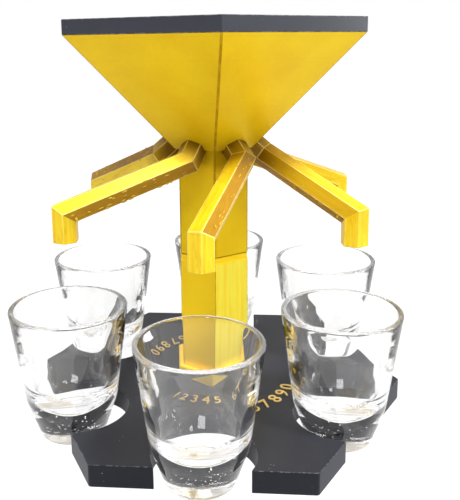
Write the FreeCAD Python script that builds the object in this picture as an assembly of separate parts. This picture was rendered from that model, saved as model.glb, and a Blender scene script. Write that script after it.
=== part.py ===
import FreeCAD, Part
import math
import os

# Party shot dispenser: a six-sided hopper on a post pours through six bent spouts into six glasses.
# Units are millimetres. +Z is up and the underside of the base plate is z = 0.
# An azimuth is counted from -Y (the front) towards +X, in degrees.

# Base plate with six C-shaped notches for the feet of the glasses
BASE_R = 83.6
BASE_T = 9.0
BASE_EDGE_R = 1.0
NOTCH_R = 20.0
NOTCH_CENTRE = 63.0

# Raised numerals on the base plate: five to a group, two groups on each side of the ring.
# A group is its characters and the azimuth of its first one.
NUMERAL_RING_R = 34.5
NUMERAL_HEIGHT = 6.2
NUMERAL_WIDTH = 4.4
NUMERAL_STROKE = 1.0
NUMERAL_RISE = 0.4
NUMERAL_STEP = 10.0
NUMERAL_GROUPS = [("12345", -31.0), ("67890", 32.3), ("12345", 149.0), ("67890", 212.3)]

# The post and everything above it stand turned by this much on the base plate
HEAD_TURN = 6.6

# Socket ring around the foot of the post
COLLAR_R = 19.8
COLLAR_H = 8.0
COLLAR_CHAMFER = 0.5

# Post
POST_R = 16.8
POST_TOP = 70.0
POST_BAND_H = 2.6
POST_BAND_INSET = 0.4
TENON_R = 10.0
TENON_DEPTH = 5.0
SPIGOT_R = 11.0
SPIGOT_H = 14.0
FLAT_CLEARANCE = 0.06

# Hopper: neck, funnel and cavity
NECK_CHAMFER = 0.35
FUNNEL_Z0 = 116.1
FUNNEL_R0 = 18.9
FUNNEL_Z1 = 162.8
FUNNEL_R1 = 66.0
RIM_TOP = 168.6
FUNNEL_WALL = 2.77
FLOOR_Z = 114.0
DIVIDER_R = 10.5
DIVIDER_TOP = 124.0

# Spouts: a six-sided tube along a bent path
TUBE_R = 5.48
TUBE_BORE_R = 4.2
ELBOW_R = 22.25
ELBOW_AZ = 30.0
ELBOW_Z = 112.0
TIP_R = 65.9
TIP_AZ = -6.6
TIP_BEND_Z = 93.4
TIP_END_Z = 81.8

# Glasses: radius and azimuth of each standing place, then the profile as (radius, height)
GLASS_PLACES = [(65.4, -1.1), (62.3, 58.2), (62.6, 122.4), (65.4, 180.9), (66.0, -119.4), (66.6, -59.2)]
GLASS_H = 55.2
GLASS_OUTER = [(9.6, 0.0), (13.2, 0.0), (18.6, 15.5), (24.13, GLASS_H)]
GLASS_INNER = [(22.0, GLASS_H), (17.4, 34.0), (14.4, 12.6), (0.0, 12.1)]
GLASS_PUNT = [(0.0, 1.2), (8.4, 1.0)]
GLASS_FILLETS = {1: 2.6, 2: 16.0, 3: 1.0, 4: 1.0, 5: 40.0, 6: 15.7}

SIDES = 6
STEP = 360.0 / SIDES
NUMERAL_STROKES = {
    "0": [[(0, 0), (1, 0), (1, 2), (0, 2), (0, 0)]],
    "1": [[(0.15, 1.55), (0.6, 2), (0.6, 0)]],
    "2": [[(0, 2), (1, 2), (1, 1), (0, 1), (0, 0), (1, 0)]],
    "3": [[(0, 2), (1, 2), (1, 0), (0, 0)], [(0.25, 1), (1, 1)]],
    "4": [[(0, 2), (0, 1), (1, 1)], [(1, 2), (1, 0)]],
    "5": [[(1, 2), (0, 2), (0, 1), (1, 1), (1, 0), (0, 0)]],
    "6": [[(1, 2), (0, 2), (0, 0), (1, 0), (1, 1), (0, 1)]],
    "7": [[(0, 2), (1, 2), (0.45, 0)]],
    "8": [[(0, 0), (1, 0), (1, 2), (0, 2), (0, 0)], [(0, 1), (1, 1)]],
    "9": [[(0, 0), (1, 0), (1, 2), (0, 2), (0, 1), (1, 1)]],
}


def plan(radius, azimuth, z=0.0):
    """Point at a radius and an azimuth."""
    a = math.radians(azimuth)
    return FreeCAD.Vector(radius * math.sin(a), -radius * math.cos(a), z)


def hexagon(radius, z):
    """Corners of a hexagon with one corner at the front."""
    return [plan(radius, STEP * i, z) for i in range(SIDES)]


def ring_solid(rings):
    """Closed solid through hexagonal rings listed from one end to the other."""
    faces = [Part.Face(Part.makePolygon(ring + [ring[0]])) for ring in (rings[0], rings[-1])]
    for lower, upper in zip(rings, rings[1:]):
        for i in range(SIDES):
            j = (i + 1) % SIDES
            quad = [lower[i], lower[j], upper[j], upper[i], lower[i]]
            faces.append(Part.Face(Part.makePolygon(quad)))
    shell = Part.Shell(faces)
    solid = Part.Solid(shell)
    if solid.Volume < 0:
        solid.reverse()
    return solid


def stack(levels):
    """Hexagonal solid from (radius, height) pairs."""
    return ring_solid([hexagon(radius, z) for radius, z in levels])


def turned(shape, azimuth):
    """Copy of a shape turned about the vertical axis."""
    copy = shape.copy()
    copy.rotate(FreeCAD.Vector(0, 0, 0), FreeCAD.Vector(0, 0, 1), azimuth)
    return copy


def save(name, shape):
    """Write one node as a STEP file."""
    shape.exportStep("parts/" + name + ".step")


def base_plate():
    """Hexagonal plate with its notches and the pocket for the post's tenon."""
    plate = turned(stack([(BASE_R, 0.0), (BASE_R, BASE_T)]), STEP / 2)
    for k in range(SIDES):
        centre = plan(NOTCH_CENTRE, STEP * k, -1.0)
        plate = plate.cut(Part.makeCylinder(NOTCH_R, BASE_T + 2.0, centre))
    upright = []
    for edge in plate.Edges:
        ends = [vertex.Point for vertex in edge.Vertexes]
        if len(ends) == 2 and abs(abs(ends[0].z - ends[1].z) - BASE_T) < 1e-6:
            upright.append(edge)
    plate = plate.makeFillet(BASE_EDGE_R, upright)
    pocket_r = TENON_R + FLAT_CLEARANCE
    pocket = stack([(pocket_r, BASE_T - TENON_DEPTH - 0.3), (pocket_r, BASE_T + 1.0)])
    return plate.cut(turned(pocket, HEAD_TURN))


def stroke_bar(start, end, overrun):
    """Flat bar for one straight stroke of a numeral."""
    along = end - start
    length = along.Length
    bar = Part.makeBox(length + 2 * overrun, NUMERAL_STROKE, NUMERAL_RISE)
    bar.translate(FreeCAD.Vector(-overrun, -NUMERAL_STROKE / 2, 0))
    bar.rotate(FreeCAD.Vector(0, 0, 0), FreeCAD.Vector(0, 0, 1), math.degrees(math.atan2(along.y, along.x)))
    bar.translate(start)
    return bar


def numeral(character):
    """One block numeral, centred, its top towards +Y."""
    wide = NUMERAL_WIDTH - NUMERAL_STROKE
    tall = (NUMERAL_HEIGHT - NUMERAL_STROKE) / 2
    bars = []
    for line in NUMERAL_STROKES[character]:
        points = [FreeCAD.Vector((x - 0.5) * wide, (y - 1) * tall, 0) for x, y in line]
        for start, end in zip(points, points[1:]):
            bars.append(stroke_bar(start, end, NUMERAL_STROKE / 2))
    shape = bars[0].multiFuse(bars[1:]) if len(bars) > 1 else bars[0]
    return shape.removeSplitter()


def numeral_group(characters, first_azimuth):
    """Five numerals along a part of the ring, readable from outside."""
    row = []
    for i, character in enumerate(characters):
        shape = numeral(character)
        shape.translate(FreeCAD.Vector(0, -NUMERAL_RING_R, BASE_T))
        row.append(turned(shape, first_azimuth + NUMERAL_STEP * i))
    return Part.makeCompound(row)


def foot_collar():
    """Socket ring around the foot of the post."""
    top = BASE_T + COLLAR_H
    outer = stack([(COLLAR_R, BASE_T), (COLLAR_R, top - COLLAR_CHAMFER), (COLLAR_R - COLLAR_CHAMFER, top)])
    hole_r = POST_R + FLAT_CLEARANCE
    return outer.cut(stack([(hole_r, BASE_T - 1.0), (hole_r, top + 1.0)]))


def post():
    """Six-sided post with a tenon below and a spigot above."""
    band_r = POST_R - POST_BAND_INSET
    return stack([
        (TENON_R, BASE_T - TENON_DEPTH),
        (TENON_R, BASE_T),
        (POST_R, BASE_T),
        (POST_R, POST_TOP - POST_BAND_H),
        (band_r, POST_TOP - POST_BAND_H),
        (band_r, POST_TOP),
        (SPIGOT_R, POST_TOP),
        (SPIGOT_R, POST_TOP + SPIGOT_H),
    ])


def funnel_direction():
    """Outward normal of the funnel face whose azimuth is ELBOW_AZ."""
    run = (FUNNEL_R1 - FUNNEL_R0) * math.cos(math.pi / SIDES)
    rise = FUNNEL_Z1 - FUNNEL_Z0
    flat = plan(1.0, ELBOW_AZ)
    normal = FreeCAD.Vector(flat.x, flat.y, -run / rise)
    return normal.normalize()


def funnel_face_point(inset):
    """Point on the funnel face of azimuth ELBOW_AZ, moved inwards along its normal."""
    point = plan(FUNNEL_R0 * math.cos(math.pi / SIDES), ELBOW_AZ, FUNNEL_Z0)
    return point - funnel_direction() * inset


def slide_to_plane(point, along, on_plane, normal):
    """Move a point along a direction until it meets a plane."""
    return point + along * ((on_plane - point).dot(normal) / along.dot(normal))


def spout_rings(radius, inner_inset, overrun):
    """Rings of the spout from its open tip to its seat in the funnel wall."""
    elbow = plan(ELBOW_R, ELBOW_AZ, ELBOW_Z)
    bend = plan(TIP_R, TIP_AZ, TIP_BEND_Z)
    down = FreeCAD.Vector(0, 0, -1)
    arm = (bend - elbow).normalize()
    stub = funnel_direction()
    tip = [FreeCAD.Vector(bend.x, bend.y, 0) + corner for corner in hexagon(radius, TIP_END_Z - overrun)]
    at_bend = [slide_to_plane(p, down, bend, arm + down) for p in tip]
    at_elbow = [slide_to_plane(p, arm, elbow, stub + arm) for p in at_bend]
    seat = funnel_face_point(inner_inset)
    at_seat = [slide_to_plane(p, stub, seat, stub) for p in at_elbow]
    return [tip, at_bend, at_elbow, at_seat]


def wall_depth():
    """Thickness of the funnel wall along its normal."""
    run = (FUNNEL_R1 - FUNNEL_R0) * math.cos(math.pi / SIDES)
    rise = FUNNEL_Z1 - FUNNEL_Z0
    return FUNNEL_WALL * math.cos(math.pi / SIDES) * rise / math.hypot(run, rise)


def spout():
    """One spout: stub, arm and down-turned tip around a six-sided bore."""
    tube = ring_solid(spout_rings(TUBE_R, wall_depth(), 0.0))
    return tube.cut(ring_solid(spout_rings(TUBE_BORE_R, wall_depth() + 2.0, 2.0)))


def spout_seat():
    """Cutter for the seat of a spout in the hopper."""
    rings = spout_rings(TUBE_R + FLAT_CLEARANCE, wall_depth() + 2.0, 0.0)
    return ring_solid(rings[2:])


def hopper():
    """Neck and funnel in one piece, with the cavity, the divider and the spout seats."""
    body = stack([
        (POST_R - NECK_CHAMFER, POST_TOP),
        (POST_R, POST_TOP + NECK_CHAMFER),
        (POST_R, FUNNEL_Z0),
        (FUNNEL_R0, FUNNEL_Z0),
        (FUNNEL_R1, FUNNEL_Z1),
    ])
    slope = (FUNNEL_R1 - FUNNEL_R0) / (FUNNEL_Z1 - FUNNEL_Z0)
    inner_top = FUNNEL_R1 - FUNNEL_WALL
    cavity = stack([
        (inner_top - slope * (FUNNEL_Z1 - FLOOR_Z), FLOOR_Z),
        (inner_top, FUNNEL_Z1),
        (inner_top, FUNNEL_Z1 + 2.0),
    ])
    divider = stack([(DIVIDER_R, FLOOR_Z - 1.0), (0.6, DIVIDER_TOP)])
    body = body.cut(cavity.cut(divider))
    seat = spout_seat()
    for k in range(SIDES):
        body = body.cut(turned(seat, STEP * k))
    socket_r = SPIGOT_R + FLAT_CLEARANCE
    return body.cut(stack([(socket_r, POST_TOP - 1.0), (socket_r, POST_TOP + SPIGOT_H + 0.6)]))


def rim_band():
    """Upright band on top of the funnel."""
    inner_r = FUNNEL_R1 - FUNNEL_WALL
    outer = stack([(FUNNEL_R1, FUNNEL_Z1), (FUNNEL_R1, RIM_TOP)])
    return outer.cut(stack([(inner_r, FUNNEL_Z1 - 1.0), (inner_r, RIM_TOP + 1.0)]))


def rounded_profile(points, fillets):
    """Edges through points in the XZ plane, with an arc at each corner that has a fillet radius."""
    count = len(points)
    corners = []
    for i, point in enumerate(points):
        radius = fillets.get(i)
        if radius is None:
            corners.append((point, None, point))
            continue
        back = (points[i - 1] - point).normalize()
        ahead = (points[(i + 1) % count] - point).normalize()
        half = math.acos(max(-1.0, min(1.0, back.dot(ahead)))) / 2
        reach = radius / math.tan(half)
        middle = point + (back + ahead).normalize() * (radius / math.sin(half) - radius)
        corners.append((point + back * reach, middle, point + ahead * reach))
    edges = []
    for i, (start, middle, end) in enumerate(corners):
        if middle is not None:
            edges.append(Part.Arc(start, middle, end).toShape())
        following = corners[(i + 1) % count][0]
        if (following - end).Length > 1e-6:
            edges.append(Part.makeLine(end, following))
    return edges


def glass():
    """Heavy-based tapered shot glass, turned about its own axis."""
    outline = GLASS_OUTER + GLASS_INNER + GLASS_PUNT
    points = [FreeCAD.Vector(r, 0, z) for r, z in outline]
    wire = Part.Wire(rounded_profile(points, GLASS_FILLETS))
    axis = FreeCAD.Vector(0, 0, 1)
    return Part.Face(wire).revolve(FreeCAD.Vector(0, 0, 0), axis, 360)


def main():
    """Build and write every node."""
    os.makedirs("parts", exist_ok=True)
    save("base_plate", base_plate())
    for k, (characters, first_azimuth) in enumerate(NUMERAL_GROUPS):
        save("numbers_%d" % (k + 1), numeral_group(characters, first_azimuth))
    save("foot_collar", turned(foot_collar(), HEAD_TURN))
    save("post", turned(post(), HEAD_TURN))
    save("hopper", turned(hopper(), HEAD_TURN))
    save("rim_band", turned(rim_band(), HEAD_TURN))
    one_spout = spout()
    one_glass = glass()
    for k in range(SIDES):
        save("spout_%d" % (k + 1), turned(one_spout, HEAD_TURN + STEP * k))
        standing = one_glass.copy()
        standing.translate(plan(*GLASS_PLACES[k]))
        save("glass_%d" % (k + 1), standing)


main()
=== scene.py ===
import math
import random

import bmesh
import bpy
from mathutils import Matrix, Vector


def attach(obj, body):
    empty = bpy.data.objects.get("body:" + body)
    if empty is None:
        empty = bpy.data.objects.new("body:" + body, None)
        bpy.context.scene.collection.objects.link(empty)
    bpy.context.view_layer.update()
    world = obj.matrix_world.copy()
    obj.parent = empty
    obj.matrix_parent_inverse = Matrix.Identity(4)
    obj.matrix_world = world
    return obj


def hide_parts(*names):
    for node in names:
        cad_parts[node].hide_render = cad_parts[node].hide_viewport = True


# Party shot dispenser: hopper, post and spouts in silk gold print, base plate and rim in matt black print,
# and six clear glasses. Lengths are written in millimetres and turned to metres by MM. The studio's floor
# and lamps are written in metres. An azimuth is counted from -Y (the front) towards +X, in degrees.
# The radius of a six-sided form is that of its corners.

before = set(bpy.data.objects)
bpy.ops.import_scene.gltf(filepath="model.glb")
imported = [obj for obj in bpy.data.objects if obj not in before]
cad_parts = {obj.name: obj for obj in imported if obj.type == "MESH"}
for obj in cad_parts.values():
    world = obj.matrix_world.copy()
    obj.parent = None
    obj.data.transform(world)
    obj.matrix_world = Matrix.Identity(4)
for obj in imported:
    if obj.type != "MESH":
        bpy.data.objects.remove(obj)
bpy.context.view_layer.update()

MM = 0.001
SIDES = 6
STEP = 360.0 / SIDES
# Points closer than this, in metres, count as one
TOUCH = 1e-6
# Edges of the base plate that turn more than this, in degrees, are corners
SHARP_ANGLE = 20.0

# Base plate
BASE_R = 83.6
BASE_T = 9.0
BASE_CORNER = 0.8
BASE_EDGE = 0.35
# Points of the plate that lie closer than this are merged, so that its edges can be rounded
BASE_MERGE = 0.18
NOTCH_R = 20.0
NOTCH_CENTRE = 63.0
NOTCH_SIDES = 144

# Numerals
NUMERAL_RING_R = 34.5
NUMERAL_HEIGHT = 6.2
NUMERAL_RISE = 0.4
NUMERAL_EDGE = 0.08
NUMERAL_MERGE = 0.02
NUMERAL_STEP = 10.0
# Characters of each group and the azimuth of its first one
NUMERAL_GROUPS = [("12345", -31.0), ("67890", 32.3), ("12345", 149.0), ("67890", 212.3)]

# Head, post and collar
HEAD_TURN = 6.6
COLLAR_R = 19.8
COLLAR_H = 8.0
COLLAR_CHAMFER = 0.5
COLLAR_EDGE = 0.15
POST_R = 16.8
POST_TOP = 70.0
POST_BAND_H = 2.6
POST_BAND_INSET = 0.4
TENON_R = 10.0
TENON_DEPTH = 5.0
TENON_PLAY = 0.3
SPIGOT_R = 11.0
SPIGOT_H = 14.0
SPIGOT_PLAY = 0.6
# Room left round the tenon, the post, the spigot and the spouts' seats
FLAT_CLEARANCE = 0.06
NECK_CHAMFER = 0.35
FUNNEL_Z0 = 116.1
FUNNEL_R0 = 18.9
FUNNEL_Z1 = 162.8
FUNNEL_R1 = 66.0
RIM_TOP = 168.6
# Wall measured level, from corner to corner
FUNNEL_WALL = 2.77
FLOOR_Z = 114.0
DIVIDER_R = 9.45
DIVIDER_TIP_R = 0.6
DIVIDER_TOP = 124.0
PRINT_EDGE = 0.28
CORNER_EDGE = 0.55
# The long corners of the funnel and the neck are the only outward edges this high
TALL_EDGE = 20.0

# Spouts
TUBE_R = 5.48
TUBE_WALL = 1.108
SEAT_REACH = 2.0
ELBOW_R = 22.25
ELBOW_AZ = 30.0
ELBOW_Z = 112.0
TIP_R = 65.9
TIP_AZ = -6.6
TIP_BEND_Z = 93.4
TIP_END_Z = 81.8
# Part of a spout that lay on supports, as radii from the axis and a lowest height
ARM_REACH = (24.0, 63.0)
ARM_LOW_Z = TIP_BEND_Z - 5.0
# Lengths of the tip, the arm and the stub beyond their mitres, before these are cut
TIP_SPARE = 20.0
ARM_RAW = 90.0
STUB_RAW = 40.0
# A face counts as supported, and takes the painted shade, from this cosine between it and the supports,
# and fully so this much later
SUPPORT_AND_SHADE_FROM = 0.6
SUPPORT_AND_SHADE_FADE = 0.25
# Places of the scars as shares of the arm, and their half sizes along, across and out of it
SCARS = 26
SCAR_SEED = 60
SCAR_ALONG = (0.04, 0.94)
SCAR_SPREAD = 2.2
SCAR_LENGTH = (0.4, 1.3)
SCAR_WIDTH = (0.14, 0.3)
SCAR_HEIGHT = (0.14, 0.42)
CRUMB_ALONG = 0.92
CRUMB_SIZE = (0.6, 0.5, 1.2)
RAY_START = 20.0
# Direction of the supports that each arm was printed on, as an azimuth and a rise; the faces that look
# this way also take painted shade
SUPPORT_AND_SHADE_SIDES = [(59.0, 20.0), (-55.0, -20.0), (120.0, -80.0), (180.0, -80.0), (-61.0, 35.0), (23.0, -40.0)]

# Glasses
# Radius and azimuth of each
GLASS_PLACES = [(65.4, -1.1), (62.3, 58.2), (62.6, 122.4), (65.4, 180.9), (66.0, -119.4), (66.6, -59.2)]
# Radius, height and fillet of the section's corners, from below the foot over the rim to the bowl's floor
GLASS_PROFILE = [
    (0.0, 1.2, 0.0), (8.4, 1.0, 0.0), (9.6, 0.0, 0.0), (13.2, 0.0, 2.6), (18.6, 15.5, 16.0),
    (24.13, 55.2, 1.0), (22.0, 55.2, 1.0), (17.4, 34.0, 40.0), (14.4, 12.6, 15.7), (0.0, 12.1, 0.0),
]
GLASS_STEPS = 128
LARGE_FILLET = 8.0
# Straight runs of the section longer than a length are cut this often
GLASS_CUTS = [(20.0, 3), (6.0, 1), (3.0, 1), (1.6, 1)]
BUBBLES = 90
BUBBLE_SEED = 40
BUBBLE_R = (0.13, 0.26)
BUBBLE_Z = (2.5, 11.0)
BUBBLE_SPREAD = 15.5
# Radius that bubbles keep to at the bottom, and how much it grows with each millimetre of height
BUBBLE_LIMIT = 12.0
BUBBLE_LIMIT_GROWTH = 0.3

# Finishes
PLASTIC_IOR = 1.46
GLASS_IOR = 1.52
SILK_ROUGHNESS = 0.33
RUBBED_ROUGHNESS = 0.5
NECK_PAINTED_SHADE = "#7E5C06"
HANDLED = "#CF9E06"
PROUD_LAYER = "#A87C08"
DUST = "#B9BAC0"
DUST_SHEEN = "#D8DCF0"
PALE_BEVEL = "#8F9095"
WHITE = "#FFFFFF"
PAPER = "#E4E4E4"
DIM_ROOM = "#B0B0B4"
# The painted shade and the rougher skin round the neck fade out between these radii
NECK_SUPPORTS_AND_SHADE = (20.0, 29.0)

# Studio
FLOOR_DROP = 0.05
LIGHT_BOUNCES = 22


# ---------------------------------------------------------------- modelling helpers

def plan(radius, azimuth, z=0.0):
    """Point at a radius, an azimuth and a height, in metres."""
    a = math.radians(azimuth)
    return Vector((radius * math.sin(a), -radius * math.cos(a), z)) * MM


def aim(azimuth, rise):
    """Direction with an azimuth and a rise above the level."""
    flat = plan(1.0 / MM, azimuth)
    return flat * math.cos(math.radians(rise)) + Vector((0.0, 0.0, math.sin(math.radians(rise))))


# Direction of the post's face that is painted paler: a painted highlight, the lamp's sheen on that face
PAINTED_HIGHLIGHT_SIDE = aim(HEAD_TURN + STEP / 2, 0.0)


def nothing_selected():
    """Leave edit mode and deselect everything."""
    active = bpy.context.view_layer.objects.active
    if active is not None and active.mode != "OBJECT":
        bpy.ops.object.mode_set(mode="OBJECT")
    bpy.ops.object.select_all(action="DESELECT")


def only(obj):
    """Make one object the selected and active one."""
    nothing_selected()
    obj.select_set(True)
    bpy.context.view_layer.objects.active = obj
    return obj


def open_mesh(obj, kind="FACE"):
    """Go into edit mode with nothing selected."""
    only(obj)
    bpy.ops.object.mode_set(mode="EDIT")
    bpy.ops.mesh.select_mode(type=kind)
    bpy.ops.mesh.select_all(action="DESELECT")


def close_mesh():
    """Go back to object mode."""
    bpy.ops.object.mode_set(mode="OBJECT")


def pick_faces(obj, wanted):
    """Select the faces whose centre and normal pass a test."""
    bpy.ops.mesh.select_all(action="DESELECT")
    mesh = bmesh.from_edit_mesh(obj.data)
    mesh.normal_update()
    for face in mesh.faces:
        if wanted(face.calc_center_median(), face.normal):
            face.select_set(True)
    bmesh.update_edit_mesh(obj.data)


def pick_edges(obj, wanted):
    """Select the edges that pass a test."""
    bpy.ops.mesh.select_all(action="DESELECT")
    mesh = bmesh.from_edit_mesh(obj.data)
    for edge in mesh.edges:
        if wanted(edge):
            edge.select_set(True)
    bmesh.update_edit_mesh(obj.data)


def cap(side, height):
    """Test for the face that closes a bar at a height, looking up (1) or down (-1)."""
    return lambda centre, normal: normal.z * side > 0.9 and abs(centre.z - height * MM) < TOUCH


def closing_face(point, direction):
    """Test for the faces that lie in a plane."""
    return lambda centre, normal: (
        abs((centre - point).dot(direction)) < TOUCH and abs(normal.dot(direction)) > 0.99)


def draw_out(rise, ratio=1.0):
    """Extrude what is selected straight up or down, then widen or narrow it about the axis."""
    bpy.ops.mesh.extrude_region_move(TRANSFORM_OT_translate={"value": (0.0, 0.0, rise * MM)})
    if ratio != 1.0:
        bpy.ops.transform.resize(value=(ratio, ratio, 1.0), center_override=(0.0, 0.0, 0.0))


def hexagonal_bar(name, radius, bottom, top, turn=HEAD_TURN):
    """Six-sided bar with a corner at an azimuth, standing on the axis."""
    nothing_selected()
    bpy.ops.mesh.primitive_cylinder_add(
        vertices=SIDES, radius=radius * MM, depth=(top - bottom) * MM,
        location=(0.0, 0.0, (top + bottom) / 2 * MM), rotation=(0.0, 0.0, math.radians(turn)))
    bar = bpy.context.object
    bar.name = name
    bpy.ops.object.transform_apply(location=True, rotation=True, scale=True)
    return bar


def change(obj, kind, **settings):
    """Add a modifier, set it and apply it."""
    only(obj)
    modifier = obj.modifiers.new(kind.title(), kind)
    for key, value in settings.items():
        setattr(modifier, key, value)
    bpy.ops.object.modifier_apply(modifier=modifier.name)


def cut_away(obj, cutter):
    """Subtract one object from another and remove it."""
    change(obj, "BOOLEAN", operation="DIFFERENCE", object=cutter, solver="EXACT")
    bpy.data.objects.remove(cutter)


def two_slots(obj):
    """Give the object a second slot, which the rounded strips take."""
    while len(obj.data.materials) < 2:
        obj.data.materials.append(None)


def soften(obj, width, segments=2, angle=28.0):
    """Round the sharp edges a little, and mark the rounded strips with the attribute edge."""
    two_slots(obj)
    change(obj, "BEVEL", width=width * MM, segments=segments, limit_method="ANGLE",
           angle_limit=math.radians(angle), use_clamp_overlap=True, material=1)
    mark(obj, "edge", lambda face: float(face.material_index))


def mark(obj, name, amount):
    """Write an amount for each face, which a finish reads under that name."""
    marks = obj.data.attributes.get(name) or obj.data.attributes.new(name, "FLOAT", "FACE")
    marks.data.foreach_set("value", [amount(face) for face in obj.data.polygons])


def close_up(obj):
    """Merge doubles and point the faces outwards."""
    open_mesh(obj, "VERT")
    bpy.ops.mesh.select_all(action="SELECT")
    bpy.ops.mesh.remove_doubles(threshold=TOUCH)
    bpy.ops.mesh.normals_make_consistent(inside=False)
    close_mesh()


def shade(obj, angle=50.0):
    """Shade smoothly round the small bevels and keep the broad faces flat."""
    close_up(obj)
    bpy.ops.object.shade_smooth_by_angle(angle=math.radians(angle))
    change(obj, "WEIGHTED_NORMAL", mode="FACE_AREA", weight=80, keep_sharp=True)


def copied(obj, name, matrix):
    """Copy with its own mesh, moved by a matrix."""
    twin = obj.copy()
    twin.data = obj.data.copy()
    twin.name = name
    twin.data.name = name
    bpy.context.scene.collection.objects.link(twin)
    twin.data.transform(matrix)
    return twin


def joined(objects):
    """Join objects into the first one and apply its place."""
    nothing_selected()
    for obj in objects:
        obj.select_set(True)
    bpy.context.view_layer.objects.active = objects[0]
    bpy.ops.object.join()
    bpy.ops.object.transform_apply(location=True, rotation=True, scale=True)
    return bpy.context.object


def turned(azimuth):
    """Turn about the vertical axis."""
    return Matrix.Rotation(math.radians(azimuth), 4, "Z")


def finished(obj, material, body, slot, *nodes):
    """Give a piece its finish and its body, and hide the nodes that it stands for; slot is not used."""
    obj.data.materials.clear()
    obj.data.materials.append(material)
    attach(obj, body)
    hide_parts(*nodes)


# ---------------------------------------------------------------- finishes

def ink(code):
    """Linear colour from an sRGB hex value."""
    channels = [int(code[i:i + 2], 16) / 255 for i in (1, 3, 5)]
    linear = [c / 12.92 if c <= 0.04045 else ((c + 0.055) / 1.055) ** 2.4 for c in channels]
    return (*linear, 1.0)


def node(tree, kind, sockets=None, **settings):
    """Add a node, set it, and give its sockets a value or a link."""
    made = tree.nodes.new(kind)
    for key, value in settings.items():
        setattr(made, key, value)
    for key, value in (sockets or {}).items():
        if isinstance(value, bpy.types.NodeSocket):
            tree.links.new(value, made.inputs[key])
        else:
            made.inputs[key].default_value = value
    return made


def blank(name):
    """Empty material and its node tree."""
    material = bpy.data.materials.new(name)
    material.use_nodes = True
    material.node_tree.nodes.clear()
    return material, material.node_tree


# A band of the wave texture repeats every 2 pi / 20 of its scaled coordinate
WAVE_PERIOD = 2 * math.pi / 20


def reckon(tree, operation, *numbers):
    """Result of a sum on numbers or sockets."""
    return node(tree, "ShaderNodeMath", dict(enumerate(numbers)), operation=operation).outputs[0]


def ramp(tree, value, start, end, low=0.0, high=1.0):
    """Number that goes from low to high as a value goes from start to end."""
    return node(tree, "ShaderNodeMapRange", {
        "Value": value, "From Min": start, "From Max": end, "To Min": low, "To Max": high}).outputs[0]


def blend(tree, share, first, second):
    """Colour that goes from the first to the second with the share."""
    return node(tree, "ShaderNodeMix", {
        "Factor": share, "A": first, "B": second}, data_type="RGBA").outputs["Result"]


def marked(tree, name, output="Fac"):
    """What mark() or mark_rod() wrote under a name."""
    return node(tree, "ShaderNodeAttribute", attribute_name=name).outputs[output]


def scaled(tree, place, scale):
    """Place scaled along each axis: a small scale draws a pattern out."""
    return node(tree, "ShaderNodeMapping", {"Vector": place, "Scale": scale}).outputs[0]


def noise(tree, place, size, detail, roughness=0.5):
    """Noise with patches of about a size in millimetres."""
    return node(tree, "ShaderNodeTexNoise", {
        "Vector": place, "Scale": 1 / (size * MM), "Detail": detail,
        "Roughness": roughness}).outputs["Fac"]


def print_lines(tree, place, period, axis, distortion):
    """Lines of a print across an axis, with a period in millimetres."""
    return node(tree, "ShaderNodeTexWave", {
        "Vector": place, "Scale": WAVE_PERIOD / (period * MM), "Distortion": distortion,
        "Detail": 1.0, "Detail Scale": 0.02}, wave_type="BANDS", bands_direction=axis).outputs["Fac"]


def bumped(tree, height, strength, depth):
    """Normal of a surface with a relief, whose depth is in millimetres."""
    return node(tree, "ShaderNodeBump", {
        "Height": height, "Strength": strength, "Distance": depth * MM}).outputs[0]


def painted_highlight_skin(tree, skin, streaks, pale):
    """Skin with a paler, streaked side: a painted highlight on the face that looks that way."""
    upright = ramp(tree, streaks, 0.36, 0.56, low=0.45)
    return blend(tree, reckon(tree, "MULTIPLY", marked(tree, "highlight_face"), upright), skin, ink(pale))


def supported_and_shaded_skin(tree, skin, place, run, dull):
    """Skin that is dull and darker where it lay on printed supports, and its roughness; the darker colour
    is partly painted shade on the arms' sides that the lamps don't reach.
    """
    support_and_shade_share = marked(tree, "support_and_shade")
    # Round the neck, where supports stood on every side, the skin is rougher, and painted dark as the shade
    # under the funnel
    level = scaled(tree, place, (1.0, 1.0, 0.0))
    reach = node(tree, "ShaderNodeVectorMath", {0: level}, operation="LENGTH").outputs["Value"]
    neck_supports_and_shade = ramp(tree, reach, NECK_SUPPORTS_AND_SHADE[0] * MM, NECK_SUPPORTS_AND_SHADE[1] * MM, low=0.95, high=0.0)
    skin = blend(tree, support_and_shade_share, skin, ink(dull))
    skin = blend(tree, neck_supports_and_shade, skin, ink(NECK_PAINTED_SHADE))
    # Patches where the skin was handled, 2 mm across and drawn out along the spout
    handled = noise(tree, scaled(tree, run, (1.0, 1.0, 0.25)), size=2.0, detail=5.0, roughness=0.7)
    skin = blend(tree, ramp(tree, handled, 0.5, 0.66, high=0.4), skin, ink(HANDLED))
    rubbed = reckon(tree, "MAXIMUM", support_and_shade_share, neck_supports_and_shade)
    return skin, ramp(tree, rubbed, 0.0, 1.0, low=SILK_ROUGHNESS, high=RUBBED_ROUGHNESS)


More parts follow.
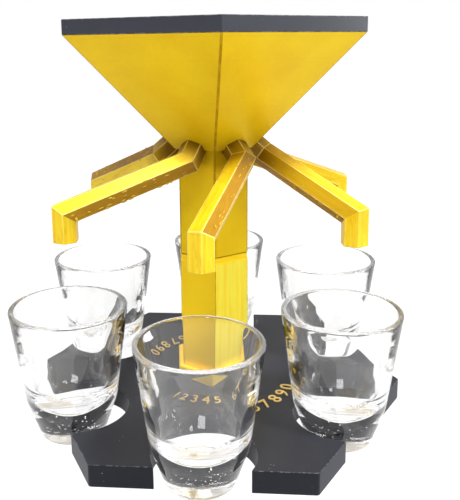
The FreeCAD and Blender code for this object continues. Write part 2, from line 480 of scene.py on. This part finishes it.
def silk_gold_print(name, low, high, edge, streak, lines, gloss=0.3, supported_and_shaded_colour=None, highlight_colour=None):
    """Silk gold PLA, printed in layers: a pearly, partly metallic sheen with fine level lines.

    The edge colour is painted on the rounded corners: painted shade where it is dark, painted highlight
    where it is pale. The colour for supported faces, where it is given, is the dull one of faces that lay
    on printed supports, darker in part as painted shade. The highlight colour, where it is given, is a
    painted highlight on one face of the post.
    """
    material, tree = blank(name)
    place = node(tree, "ShaderNodeTexCoord").outputs["Object"]
    # The pearl pigment drifts slowly, over some 25 mm
    drift = noise(tree, place, size=25.0, detail=2.0)
    # Streaks of the moving nozzle, 1.6 mm wide and 32 mm long, stand upright or run along a spout
    run = place if supported_and_shaded_colour is None else marked(tree, "rod", "Vector")
    streaks = noise(tree, scaled(tree, run, (1.0, 1.0, 0.05)), size=1.6, detail=3.0, roughness=0.6)
    mixed = reckon(tree, "MULTIPLY_ADD", streaks, streak, drift)
    tone = ramp(tree, mixed, 0.3 + 0.3 * streak, 0.7 + 0.7 * streak)
    skin = blend(tree, tone, ink(low), ink(high))
    rough = SILK_ROUGHNESS
    if highlight_colour is not None:
        skin = painted_highlight_skin(tree, skin, streaks, highlight_colour)
    if supported_and_shaded_colour is not None:
        skin, rough = supported_and_shaded_skin(tree, skin, place, run, supported_and_shaded_colour)
    # Here and there a layer stands a little proud and shows as a level line
    proud = noise(tree, scaled(tree, place, (0.0, 0.0, 1.0)), size=0.9, detail=1.0)
    skin = blend(tree, ramp(tree, proud, 0.62, 0.72, high=lines), skin, ink(PROUD_LAYER))
    # Corners are painted as a line of another tone, broken here and there: painted shade where the edge
    # colour is dark, painted highlight where it is pale
    broken = ramp(tree, noise(tree, place, size=3.0, detail=2.0), 0.35, 0.6, low=0.55, high=0.85)
    skin = blend(tree, reckon(tree, "MULTIPLY", marked(tree, "edge"), broken), skin, ink(edge))
    # Layers of 0.2 mm are drawn twice as coarse, so that they show, with a grain of 0.5 mm
    layers = print_lines(tree, place, period=0.4, axis="Z", distortion=0.6)
    grain = noise(tree, place, size=0.5, detail=2.0, roughness=0.6)
    relief = reckon(tree, "MULTIPLY_ADD", grain, 0.5, layers)
    shader = node(tree, "ShaderNodeBsdfPrincipled", {
        "Base Color": skin, "Metallic": 0.3, "Roughness": rough, "IOR": PLASTIC_IOR,
        "Specular IOR Level": gloss, "Normal": bumped(tree, relief, strength=0.35, depth=0.03)})
    node(tree, "ShaderNodeOutputMaterial", {"Surface": shader.outputs[0]})
    return material


def matt_black_print(name, dark, pale, gloss, rough):
    """Matt black PLA, printed face up: fine raster lines on top, small pale specks, edges paler in patches.
    """
    material, tree = blank(name)
    place = node(tree, "ShaderNodeTexCoord").outputs["Object"]
    surface = node(tree, "ShaderNodeNewGeometry")
    facing = node(tree, "ShaderNodeSeparateXYZ", {0: surface.outputs["True Normal"]}).outputs["Z"]
    top = reckon(tree, "GREATER_THAN", facing, 0.9)
    # Top skin laid down in 0.4 mm lines at 45 degrees, drawn at 0.8 mm so that they show
    slant = node(tree, "ShaderNodeMapping", {"Vector": place, "Rotation": (0.0, 0.0, math.radians(45))})
    raster = print_lines(tree, slant.outputs[0], period=0.8, axis="X", distortion=0.8)
    layers = print_lines(tree, place, period=0.4, axis="Z", distortion=0.6)
    lines = node(tree, "ShaderNodeMix", {
        "Factor": top, "A": layers, "B": raster}, data_type="FLOAT").outputs["Result"]
    # The top is painted paler than the upright sides: painted light from above, and painted reflection
    # at the grazing angle at which the top is seen
    cloud = noise(tree, place, size=12.0, detail=4.0)
    tone = reckon(tree, "MULTIPLY_ADD", cloud, 0.4, reckon(tree, "MULTIPLY", top, 0.6))
    skin = blend(tree, tone, ink(dark), ink(pale))
    # Dust and pale specks, 0.5 mm across
    grit = node(tree, "ShaderNodeTexVoronoi", {"Vector": place, "Scale": 1 / (3.2 * MM)}, feature="F1")
    speck = ramp(tree, grit.outputs["Distance"], 0.05, 0.09, low=1.0, high=0.0)
    some = ramp(tree, noise(tree, place, size=7.0, detail=1.0), 0.55, 0.65, high=0.5)
    skin = blend(tree, reckon(tree, "MULTIPLY", speck, some), skin, ink(DUST))
    # The edges are paler in broken patches: only the small bevels face between upright and level
    bevel = reckon(tree, "COMPARE", reckon(tree, "ABSOLUTE", facing), 0.55, 0.42)
    pale_patches = ramp(tree, noise(tree, place, size=1.5, detail=3.0), 0.45, 0.62, high=0.55)
    skin = blend(tree, reckon(tree, "MULTIPLY", bevel, pale_patches), skin, ink(PALE_BEVEL))
    shader = node(tree, "ShaderNodeBsdfPrincipled", {
        "Base Color": skin, "Roughness": rough, "IOR": PLASTIC_IOR, "Specular IOR Level": gloss,
        "Sheen Weight": 0.12, "Sheen Roughness": 0.4, "Sheen Tint": ink(DUST_SHEEN),
        "Normal": bumped(tree, lines, strength=0.3, depth=0.03)})
    node(tree, "ShaderNodeOutputMaterial", {"Surface": shader.outputs[0]})
    return material


def clear_glass():
    """Pressed soda-lime glass, fire polished: clear, with hard reflections."""
    material, tree = blank("soda_lime_glass")
    place = node(tree, "ShaderNodeTexCoord").outputs["Object"]
    # Faint waviness of the pressed wall, 9 mm across
    swell = noise(tree, place, size=9.0, detail=1.0)
    # The foot took the skin of the mould and isn't polished: the lowest 2 mm are dull
    height = node(tree, "ShaderNodeSeparateXYZ", {0: place}).outputs["Z"]
    rough = ramp(tree, height, 1.0 * MM, 2.0 * MM, low=0.4, high=0.0)
    shader = node(tree, "ShaderNodeBsdfPrincipled", {
        "Base Color": ink(WHITE), "Roughness": rough, "IOR": GLASS_IOR, "Transmission Weight": 1.0,
        "Normal": bumped(tree, swell, strength=0.2, depth=0.1)})
    node(tree, "ShaderNodeOutputMaterial", {"Surface": shader.outputs[0]})
    return material


# The third colour of each silk gold is its corner line: painted shade on the hopper and the post, painted
# highlight on the spouts, and the numerals' own high colour on the numerals
gold = silk_gold_print("silk_gold_pla", "#E2B70E", "#EECB16", "#A67A04", streak=0.3, lines=0.12, gloss=0.12)
# The post and its foot collar take a brighter copy of the silk gold: painted light on the lower post
lit_post_gold = silk_gold_print(
    "silk_gold_pla_post", "#FFD20A", "#FFD812", "#A07C06", streak=0.3, lines=0.0, highlight_colour="#FFEC46")
spout_gold = silk_gold_print(
    "silk_gold_pla_spouts", "#E4B20C", "#FCE230", "#FFE588", streak=1.4, lines=0.35, supported_and_shaded_colour="#B08216")
numeral_gold = silk_gold_print(
    "silk_gold_pla_numerals", "#D9B45C", "#EBCB79", "#EBCB79", streak=0.3, lines=0.0)
black = matt_black_print("matt_black_pla", "#090C18", "#2A2B31", gloss=0.25, rough=0.48)
# The rim band takes a paler copy of the black, as painted light on the rim, and a glossier finish
lighter_rim_black = matt_black_print("satin_black_pla", "#2E3038", "#3A3C44", gloss=0.55, rough=0.26)
glass = clear_glass()


# ---------------------------------------------------------------- base plate and numerals

def make_base_plate():
    """Hexagonal plate with six C-shaped notches and the pocket for the tenon."""
    plate = hexagonal_bar("base_plate_print", BASE_R, 0.0, BASE_T, STEP / 2)
    for k in range(SIDES):
        nothing_selected()
        bpy.ops.mesh.primitive_cylinder_add(
            vertices=NOTCH_SIDES, radius=NOTCH_R * MM, depth=3 * BASE_T * MM,
            location=plan(NOTCH_CENTRE, STEP * k, BASE_T / 2))
        cut_away(plate, bpy.context.object)
    pocket_floor = BASE_T - TENON_DEPTH - TENON_PLAY
    cut_away(plate, hexagonal_bar("pocket", TENON_R + FLAT_CLEARANCE, pocket_floor, BASE_T + 2.0))
    open_mesh(plate, "EDGE")

    def upright_corner(edge):
        start, end = edge.verts[0].co, edge.verts[1].co
        upright = (start - end).xy.length < TOUCH
        outside = start.xy.length > COLLAR_R * MM
        if not upright or not outside or len(edge.link_faces) != 2:
            return False
        return edge.calc_face_angle() > math.radians(SHARP_ANGLE)

    pick_edges(plate, upright_corner)
    bpy.ops.mesh.bevel(offset=BASE_CORNER * MM, segments=4, affect="EDGES")
    bpy.ops.mesh.select_all(action="SELECT")
    bpy.ops.mesh.remove_doubles(threshold=BASE_MERGE * MM)
    close_mesh()
    soften(plate, BASE_EDGE, angle=60.0)
    shade(plate)
    return plate


def make_numeral(character):
    """One raised numeral, centred on the origin with its top towards +Y."""
    nothing_selected()
    bpy.ops.object.text_add()
    letter = bpy.context.object
    letter.data.body = character
    letter.data.align_x = "CENTER"
    letter.data.size = 1.0
    bpy.ops.object.convert(target="MESH")
    letter = bpy.context.object
    points = [v.co for v in letter.data.vertices]
    low = Vector((min(p.x for p in points), min(p.y for p in points), 0.0))
    high = Vector((max(p.x for p in points), max(p.y for p in points), 0.0))
    scale = NUMERAL_HEIGHT * MM / (high.y - low.y)
    letter.data.transform(Matrix.Scale(scale, 4) @ Matrix.Translation(-(low + high) / 2))
    open_mesh(letter)
    bpy.ops.mesh.select_all(action="SELECT")
    bpy.ops.mesh.remove_doubles(threshold=NUMERAL_MERGE * MM)
    bpy.ops.mesh.dissolve_limited(angle_limit=math.radians(2))
    bpy.ops.mesh.extrude_region_move(TRANSFORM_OT_translate={"value": (0.0, 0.0, NUMERAL_RISE * MM)})
    close_mesh()
    return letter


def make_numeral_group(name, characters, first_azimuth):
    """Five numerals along a part of the ring, readable from outside."""
    letters = []
    for i, character in enumerate(characters):
        letter = make_numeral(character)
        azimuth = first_azimuth + NUMERAL_STEP * i
        front = Matrix.Translation((0.0, -NUMERAL_RING_R * MM, BASE_T * MM))
        letter.data.transform(turned(azimuth) @ front)
        letters.append(letter)
    row = joined(letters)
    row.name = name
    soften(row, NUMERAL_EDGE, segments=1, angle=40.0)
    shade(row)
    return row


# ---------------------------------------------------------------- collar, post, hopper and rim

def make_foot_collar():
    """Socket ring around the foot of the post."""
    top = BASE_T + COLLAR_H
    collar = hexagonal_bar("foot_collar_print", COLLAR_R, BASE_T, top - COLLAR_CHAMFER)
    open_mesh(collar)
    pick_faces(collar, cap(1, top - COLLAR_CHAMFER))
    draw_out(COLLAR_CHAMFER, (COLLAR_R - COLLAR_CHAMFER) / COLLAR_R)
    close_mesh()
    cut_away(collar, hexagonal_bar("bore", POST_R + FLAT_CLEARANCE, BASE_T - 1.0, top + 1.0))
    soften(collar, COLLAR_EDGE, angle=20.0)
    shade(collar)
    return collar


def make_post():
    """Six-sided post with a tenon below, a set-back band and a spigot above."""
    post = hexagonal_bar("post_print", POST_R, BASE_T, POST_TOP - POST_BAND_H)
    band_r = POST_R - POST_BAND_INSET
    open_mesh(post)
    pick_faces(post, cap(1, POST_TOP - POST_BAND_H))
    draw_out(0.0, band_r / POST_R)
    draw_out(POST_BAND_H)
    draw_out(0.0, SPIGOT_R / band_r)
    draw_out(SPIGOT_H)
    pick_faces(post, cap(-1, BASE_T))
    draw_out(0.0, TENON_R / POST_R)
    draw_out(-TENON_DEPTH)
    close_mesh()
    soften(post, PRINT_EDGE)
    # The edge at the shoulder has no painted line of its own, and the painted highlight side ends there
    shoulder = (POST_TOP - POST_BAND_H) * MM
    mark(post, "edge", lambda face: float(face.material_index and abs(face.center.z - shoulder) > MM))
    mark(post, "highlight_face", lambda face: float(
        face.normal.dot(PAINTED_HIGHLIGHT_SIDE) > 0.95 and face.center.z < shoulder))
    shade(post)
    return post


def funnel_normal():
    """Outward normal of the funnel face whose azimuth is ELBOW_AZ."""
    run = (FUNNEL_R1 - FUNNEL_R0) * math.cos(math.pi / SIDES)
    rise = FUNNEL_Z1 - FUNNEL_Z0
    flat = plan(1.0 / MM, ELBOW_AZ)
    return Vector((flat.x, flat.y, -run / rise)).normalized()


def wall_depth():
    """Thickness of the funnel wall along its normal."""
    run = (FUNNEL_R1 - FUNNEL_R0) * math.cos(math.pi / SIDES)
    rise = FUNNEL_Z1 - FUNNEL_Z0
    return FUNNEL_WALL * math.cos(math.pi / SIDES) * rise / math.hypot(run, rise)


def make_tube(name, radius, inner_depth):
    """Six-sided rod bent from the tip over the arm to the stub, in the frame of the unturned head."""
    elbow = plan(ELBOW_R, ELBOW_AZ, ELBOW_Z)
    bend = plan(TIP_R, TIP_AZ, TIP_BEND_Z)
    down = Vector((0.0, 0.0, -1.0))
    arm = (bend - elbow).normalized()
    stub = funnel_normal()
    seat = plan(FUNNEL_R0 * math.cos(math.pi / SIDES), ELBOW_AZ, FUNNEL_Z0) - stub * inner_depth * MM
    tube = hexagonal_bar(name, radius, TIP_END_Z, TIP_BEND_Z + TIP_SPARE, 0.0)
    tube.data.transform(Matrix.Translation((bend.x, bend.y, 0.0)))
    tip_mitre = (arm + down).normalized()
    elbow_mitre = (stub + arm).normalized()
    open_mesh(tube)
    bpy.ops.mesh.select_all(action="SELECT")
    bpy.ops.mesh.bisect(plane_co=bend, plane_no=tip_mitre, use_fill=True, clear_inner=True)
    # Each leg is drawn out too long and cut where it ends
    legs = [
        (bend, tip_mitre, arm, ARM_RAW, elbow, elbow_mitre),
        (elbow, elbow_mitre, stub, STUB_RAW, seat, stub),
    ]
    for start, start_plane, along, length, end, end_plane in legs:
        pick_faces(tube, closing_face(start, start_plane))
        bpy.ops.mesh.extrude_region_move(TRANSFORM_OT_translate={"value": -along * length * MM})
        bpy.ops.mesh.select_all(action="SELECT")
        bpy.ops.mesh.bisect(plane_co=end, plane_no=end_plane, use_fill=True, clear_inner=True)
    close_mesh()
    return tube, seat, stub


def make_spout():
    """Open tube with its wall, ready to be turned to its place."""
    tube, seat, stub = make_tube("spout", TUBE_R, wall_depth())
    open_mesh(tube)
    pick_faces(tube, cap(-1, TIP_END_Z))
    bpy.ops.mesh.delete(type="FACE")
    pick_faces(tube, closing_face(seat, stub))
    bpy.ops.mesh.delete(type="FACE")
    close_mesh()
    close_up(tube)
    change(tube, "SOLIDIFY", thickness=TUBE_WALL * MM, offset=-1.0, use_even_offset=True)
    soften(tube, PRINT_EDGE)
    # The painted highlight on the tip's edges is fainter than on those of the arm
    mark(tube, "edge", lambda face: face.material_index * (1.0 if face.center.z > TIP_BEND_Z * MM else 0.3))
    shade(tube)
    mark_rod(tube)
    return tube


def mark_rod(tube):
    """Write for each corner its place on the rod as if unbent, so that streaks follow the bends."""
    elbow = plan(ELBOW_R, ELBOW_AZ, ELBOW_Z)
    bend = plan(TIP_R, TIP_AZ, TIP_BEND_Z)
    down = Vector((0.0, 0.0, -1.0))
    arm = (bend - elbow).normalized()
    stub = funnel_normal()
    unbend = arm.rotation_difference(down)
    unbend_stub = stub.rotation_difference(down)
    places = []
    for face in tube.data.polygons:
        for corner in face.loop_indices:
            point = tube.data.vertices[tube.data.loops[corner].vertex_index].co
            if (face.center - bend).dot(arm + down) > 0.0:
                straight = point - bend
            elif (face.center - elbow).dot(stub + arm) > 0.0:
                straight = unbend @ (point - bend)
            else:
                straight = unbend_stub @ (point - elbow) + unbend @ (elbow - bend)
            places.extend(straight)
    rod = tube.data.attributes.new("rod", "FLOAT_VECTOR", "CORNER")
    rod.data.foreach_set("vector", places)


def mark_supported_and_shaded(spout, towards):
    """Mark the faces of the arm that look towards the supports it was printed on; they also take painted
    shade.
    """
    def amount(face):
        inner, outer = ARM_REACH
        on_arm = inner * MM < face.center.xy.length < outer * MM and face.center.z > ARM_LOW_Z * MM
        share = (face.normal.dot(towards) - SUPPORT_AND_SHADE_FROM) / SUPPORT_AND_SHADE_FADE
        return min(1.0, max(0.0, share)) if on_arm else 0.0

    mark(spout, "support_and_shade", amount)


def make_scars(spout, turn, towards, seed):
    """Torn spots along one side of the arm, where printed supports were broken off."""
    draw = random.Random(seed)
    elbow = turn @ plan(ELBOW_R, ELBOW_AZ, ELBOW_Z)
    bend = turn @ plan(TIP_R, TIP_AZ, TIP_BEND_Z)
    along = (bend - elbow).normalized()
    across = along.cross(towards).normalized()
    lie = along.to_track_quat("X", "Z").to_euler()
    scars = []
    for i in range(SCARS):
        place = elbow.lerp(bend, draw.uniform(*SCAR_ALONG)) + across * draw.gauss(0.0, SCAR_SPREAD) * MM
        size = Vector([draw.uniform(*limits) for limits in (SCAR_LENGTH, SCAR_WIDTH, SCAR_HEIGHT)])
        # The first is a larger crumb near the tip
        if i == 0:
            place = elbow.lerp(bend, CRUMB_ALONG)
            size = Vector(CRUMB_SIZE)
        found, point, _, _ = spout.ray_cast(place + towards * RAY_START * MM, -towards)
        if not found:
            continue
        nothing_selected()
        bpy.ops.mesh.primitive_ico_sphere_add(
            subdivisions=2, radius=1.0, location=point, rotation=lie, scale=size * MM)
        scars.append(bpy.context.object)
    rough_side = joined(scars)
    # The scars take a little of the painted corner highlight, and the supported skin with its painted shade
    mark(rough_side, "edge", lambda face: 0.2)
    mark(rough_side, "support_and_shade", lambda face: 0.6)
    return rough_side


def make_hopper():
    """Neck and funnel with the cavity, the divider, the spigot socket and the spout seats."""
    hopper = hexagonal_bar("hopper_print", POST_R - NECK_CHAMFER, POST_TOP, POST_TOP + NECK_CHAMFER)
    slope = (FUNNEL_R1 - FUNNEL_R0) / (FUNNEL_Z1 - FUNNEL_Z0)
    inner_top = FUNNEL_R1 - FUNNEL_WALL
    floor_r = inner_top - slope * (FUNNEL_Z1 - FLOOR_Z)
    open_mesh(hopper)
    pick_faces(hopper, cap(1, POST_TOP + NECK_CHAMFER))
    widen = POST_R / (POST_R - NECK_CHAMFER)
    bpy.ops.transform.resize(value=(widen, widen, 1.0), center_override=(0.0, 0.0, 0.0))
    draw_out(FUNNEL_Z0 - POST_TOP - NECK_CHAMFER)
    draw_out(0.0, FUNNEL_R0 / POST_R)
    draw_out(FUNNEL_Z1 - FUNNEL_Z0, FUNNEL_R1 / FUNNEL_R0)
    draw_out(0.0, inner_top / FUNNEL_R1)
    draw_out(FLOOR_Z - FUNNEL_Z1, floor_r / inner_top)
    draw_out(0.0, DIVIDER_R / floor_r)
    draw_out(DIVIDER_TOP - FLOOR_Z, DIVIDER_TIP_R / DIVIDER_R)
    socket_r = SPIGOT_R + FLAT_CLEARANCE
    pick_faces(hopper, cap(-1, POST_TOP))
    draw_out(0.0, socket_r / (POST_R - NECK_CHAMFER))
    draw_out(SPIGOT_H + SPIGOT_PLAY)
    two_slots(hopper)
    pick_edges(hopper, lambda edge: (
        edge.is_convex and abs(edge.verts[0].co.z - edge.verts[1].co.z) > TALL_EDGE * MM))
    bpy.ops.mesh.bevel(offset=CORNER_EDGE * MM, segments=3, affect="EDGES", material=1)
    close_mesh()
    seat_master, _, _ = make_tube("seat", TUBE_R + FLAT_CLEARANCE, wall_depth() + SEAT_REACH)
    for k in range(SIDES):
        cut_away(hopper, copied(seat_master, "seat_cutter", turned(HEAD_TURN + STEP * k)))
    bpy.data.objects.remove(seat_master)
    soften(hopper, PRINT_EDGE, angle=24.0)
    shade(hopper)
    return hopper


def make_rim_band():
    """Upright band on top of the funnel."""
    rim = hexagonal_bar("rim_band_print", FUNNEL_R1, FUNNEL_Z1, RIM_TOP)
    cut_away(rim, hexagonal_bar("mouth", FUNNEL_R1 - FUNNEL_WALL, FUNNEL_Z1 - 1.0, RIM_TOP + 1.0))
    soften(rim, PRINT_EDGE)
    shade(rim)
    return rim


# ---------------------------------------------------------------- glasses

def make_glass():
    """Heavy-based tapered shot glass: a profile drawn point by point, rounded, and spun."""
    nothing_selected()
    bpy.ops.mesh.primitive_plane_add(size=1.0 * MM)
    cup = bpy.context.object
    cup.name = "shot_glass"
    # The plane shrinks to the first point of the section
    open_mesh(cup, "VERT")
    bpy.ops.mesh.select_all(action="SELECT")
    bpy.ops.mesh.merge(type="CENTER")
    bpy.ops.transform.translate(value=(GLASS_PROFILE[0][0] * MM, 0.0, GLASS_PROFILE[0][1] * MM))
    for here, there in zip(GLASS_PROFILE, GLASS_PROFILE[1:]):
        step = ((there[0] - here[0]) * MM, 0.0, (there[1] - here[1]) * MM)
        bpy.ops.mesh.extrude_region_move(TRANSFORM_OT_translate={"value": step})
    for i, (r, z, fillet) in enumerate(GLASS_PROFILE):
        if fillet == 0.0:
            continue
        here = Vector((r, z))
        back = (Vector(GLASS_PROFILE[i - 1][:2]) - here).normalized()
        ahead = (Vector(GLASS_PROFILE[i + 1][:2]) - here).normalized()
        reach = fillet / math.tan(back.angle(ahead) / 2)
        bpy.ops.mesh.select_all(action="DESELECT")
        mesh = bmesh.from_edit_mesh(cup.data)
        for v in mesh.verts:
            if (v.co - Vector((r * MM, 0.0, z * MM))).length < TOUCH:
                v.select_set(True)
        bmesh.update_edit_mesh(cup.data)
        segments = 8 if fillet < LARGE_FILLET else 20
        bpy.ops.mesh.bevel(offset=reach * MM, segments=segments, affect="VERTICES")
    # Straight runs are split into short lengths, so that the shading bends only at the fillets
    for length, cuts in GLASS_CUTS:
        pick_edges(cup, lambda edge: edge.calc_length() > length * MM)
        bpy.ops.mesh.subdivide(number_cuts=cuts)
    bpy.ops.mesh.select_all(action="SELECT")
    bpy.ops.mesh.spin(steps=GLASS_STEPS, angle=2 * math.pi, center=(0.0, 0.0, 0.0), axis=(0.0, 0.0, 1.0))
    bpy.ops.mesh.select_all(action="SELECT")
    bpy.ops.mesh.remove_doubles(threshold=TOUCH)
    close_mesh()
    close_up(cup)
    bpy.ops.object.shade_smooth_by_angle(angle=math.radians(50.0))
    return cup


def make_bubbles(name, seed):
    """Tiny bubbles caught in the heavy base, as cavities."""
    draw = random.Random(seed)
    bubbles = []
    for _ in range(BUBBLES):
        r = BUBBLE_SPREAD * math.sqrt(draw.random())
        z = draw.uniform(*BUBBLE_Z)
        # The glass widens upwards
        if r > BUBBLE_LIMIT + z * BUBBLE_LIMIT_GROWTH:
            continue
        nothing_selected()
        bpy.ops.mesh.primitive_ico_sphere_add(
            subdivisions=1, radius=draw.uniform(*BUBBLE_R) * MM, location=plan(r, draw.uniform(0, 360), z))
        bubbles.append(bpy.context.object)
    cluster = joined(bubbles)
    cluster.name = name
    open_mesh(cluster)
    bpy.ops.mesh.select_all(action="SELECT")
    bpy.ops.mesh.flip_normals()
    close_mesh()
    bpy.ops.object.shade_smooth()
    return cluster


# ---------------------------------------------------------------- putting the pieces in place

finished(make_base_plate(), black, "base", "black_print", "base_plate")
for k, (characters, first_azimuth) in enumerate(NUMERAL_GROUPS):
    group = make_numeral_group("numeral_group_%d" % (k + 1), characters, first_azimuth)
    finished(group, numeral_gold, "base", "gold_print", "numbers_%d" % (k + 1))
finished(make_foot_collar(), lit_post_gold, "base", "gold_print", "foot_collar")
finished(make_post(), lit_post_gold, "post", "gold_print", "post")
finished(make_hopper(), gold, "head", "gold_print", "hopper")
finished(make_rim_band(), lighter_rim_black, "head", "black_print", "rim_band")

spout_master = make_spout()
glass_master = make_glass()
for k in range(SIDES):
    number = k + 1
    turn = turned(HEAD_TURN + STEP * k)
    towards = aim(*SUPPORT_AND_SHADE_SIDES[k])
    one_spout = copied(spout_master, "spout_print_%d" % number, turn)
    mark_supported_and_shaded(one_spout, towards)
    scars = make_scars(one_spout, turn, towards, SCAR_SEED + k)
    joined([one_spout, scars])
    finished(one_spout, spout_gold, "head", "gold_print", "spout_%d" % number)
    place = Matrix.Translation(plan(*GLASS_PLACES[k]))
    cup = copied(glass_master, "shot_glass_%d" % number, place @ turned(STEP * k))
    cluster = make_bubbles("bubbles", BUBBLE_SEED + k)
    cluster.data.transform(place)
    joined([cup, cluster])
    finished(cup, glass, "glass_%d" % number, "clear_glass", "glass_%d" % number)
bpy.data.objects.remove(spout_master)
bpy.data.objects.remove(glass_master)


# ---------------------------------------------------------------- studio

def white_for_the_eye(tree, seen_share, gloss_share):
    """Share of plain white where the eye looks, also through glass, and in gloss, and the kinds of ray."""
    path = node(tree, "ShaderNodeLightPath").outputs
    seen = reckon(tree, "MAXIMUM", path["Is Camera Ray"], path["Is Transmission Ray"])
    clear = reckon(tree, "MULTIPLY", seen, seen_share)
    gloss = reckon(tree, "MULTIPLY", path["Is Glossy Ray"], gloss_share)
    return reckon(tree, "MAXIMUM", clear, gloss), path


def make_floor():
    """Wide white floor that keeps a faint shadow."""
    nothing_selected()
    bpy.ops.mesh.primitive_plane_add(size=6.0, location=(0.0, 0.0, -FLOOR_DROP * MM))
    floor = bpy.context.object
    floor.name = "studio_floor"
    material, tree = blank("white_table")
    share, _ = white_for_the_eye(tree, 0.85, 0.85)
    paper = node(tree, "ShaderNodeBsdfDiffuse", {"Color": ink(PAPER)})
    glow = node(tree, "ShaderNodeEmission", {"Color": ink(WHITE), "Strength": 1.18})
    mix = node(tree, "ShaderNodeMixShader", {0: share, 1: paper.outputs[0], 2: glow.outputs[0]})
    node(tree, "ShaderNodeOutputMaterial", {"Surface": mix.outputs[0]})
    floor.data.materials.append(material)


def make_world():
    """White surroundings, with a dimmer part of the room at the front for gloss and glass."""
    world = bpy.data.worlds.new("white_studio")
    bpy.context.scene.world = world
    world.use_nodes = True
    tree = world.node_tree
    tree.nodes.clear()
    share, path = white_for_the_eye(tree, 1.0, 1.0)
    look = node(tree, "ShaderNodeTexCoord").outputs["Generated"]
    # Direction of the dimmer part, from the object
    dim_side = (-0.34, -0.9, 0.27)
    front = node(tree, "ShaderNodeVectorMath", {0: look, 1: dim_side}, operation="DOT_PRODUCT")
    dim = ramp(tree, front.outputs["Value"], 0.1, 0.5)
    unseen = reckon(tree, "SUBTRACT", 1.0, path["Is Camera Ray"])
    colour = blend(tree, reckon(tree, "MULTIPLY", dim, unseen), ink(WHITE), ink(DIM_ROOM))
    strength = ramp(tree, share, 0.0, 1.0, low=0.3)
    backdrop = node(tree, "ShaderNodeBackground", {"Color": colour, "Strength": strength})
    node(tree, "ShaderNodeOutputWorld", {"Surface": backdrop.outputs[0]})


def make_lamp(name, place, target, size, power):
    """Square soft box."""
    data = bpy.data.lights.new(name, "AREA")
    data.shape = "SQUARE"
    data.size = size
    data.energy = power
    lamp = bpy.data.objects.new(name, data)
    bpy.context.scene.collection.objects.link(lamp)
    lamp.location = place
    lamp.rotation_euler = (Vector(target) - Vector(place)).to_track_quat("-Z", "Y").to_euler()
    lamp.visible_camera = False


def make_camera():
    """Camera a little below the rim's level, turned slightly from the front."""
    data = bpy.data.cameras.new("camera")
    data.sensor_fit = "AUTO"
    data.sensor_width = 36.0
    data.lens = 49.67
    data.shift_x = 0.0557
    data.shift_y = -0.1455
    data.clip_start = 0.01
    data.clip_end = 50.0
    camera = bpy.data.objects.new("camera", data)
    bpy.context.scene.collection.objects.link(camera)
    ahead = Vector((-0.0777922, 0.9782603, -0.1922373))
    right = Vector((0.9969624, 0.0770658, -0.0112647))
    up = Vector((-0.0037951, 0.1925297, 0.9812838))
    turn = Matrix((right, up, -ahead)).transposed()
    eye = Vector((18.883, -294.993, 159.730)) * MM
    camera.matrix_world = Matrix.Translation(eye) @ turn.to_4x4()
    bpy.context.scene.camera = camera


make_floor()
make_world()
make_lamp("lamp_key", place=(-0.05, -0.55, 0.98), target=(0.0, 0.0, 0.08), size=0.35, power=9.8)
make_lamp("lamp_right", place=(0.46, -0.32, 1.12), target=(0.0, 0.0, 0.08), size=0.2, power=12.6)
make_lamp("lamp_low", place=(0.95, -0.03, 0.2), target=(0.0, 0.0, 0.12), size=0.14, power=0.9)
make_camera()
bpy.context.scene.view_settings.view_transform = "Standard"
# Light has to pass through several thick glass walls
bpy.context.scene.cycles.max_bounces = LIGHT_BOUNCES
bpy.context.scene.cycles.transmission_bounces = LIGHT_BOUNCES
bpy.context.scene.cycles.glossy_bounces = LIGHT_BOUNCES
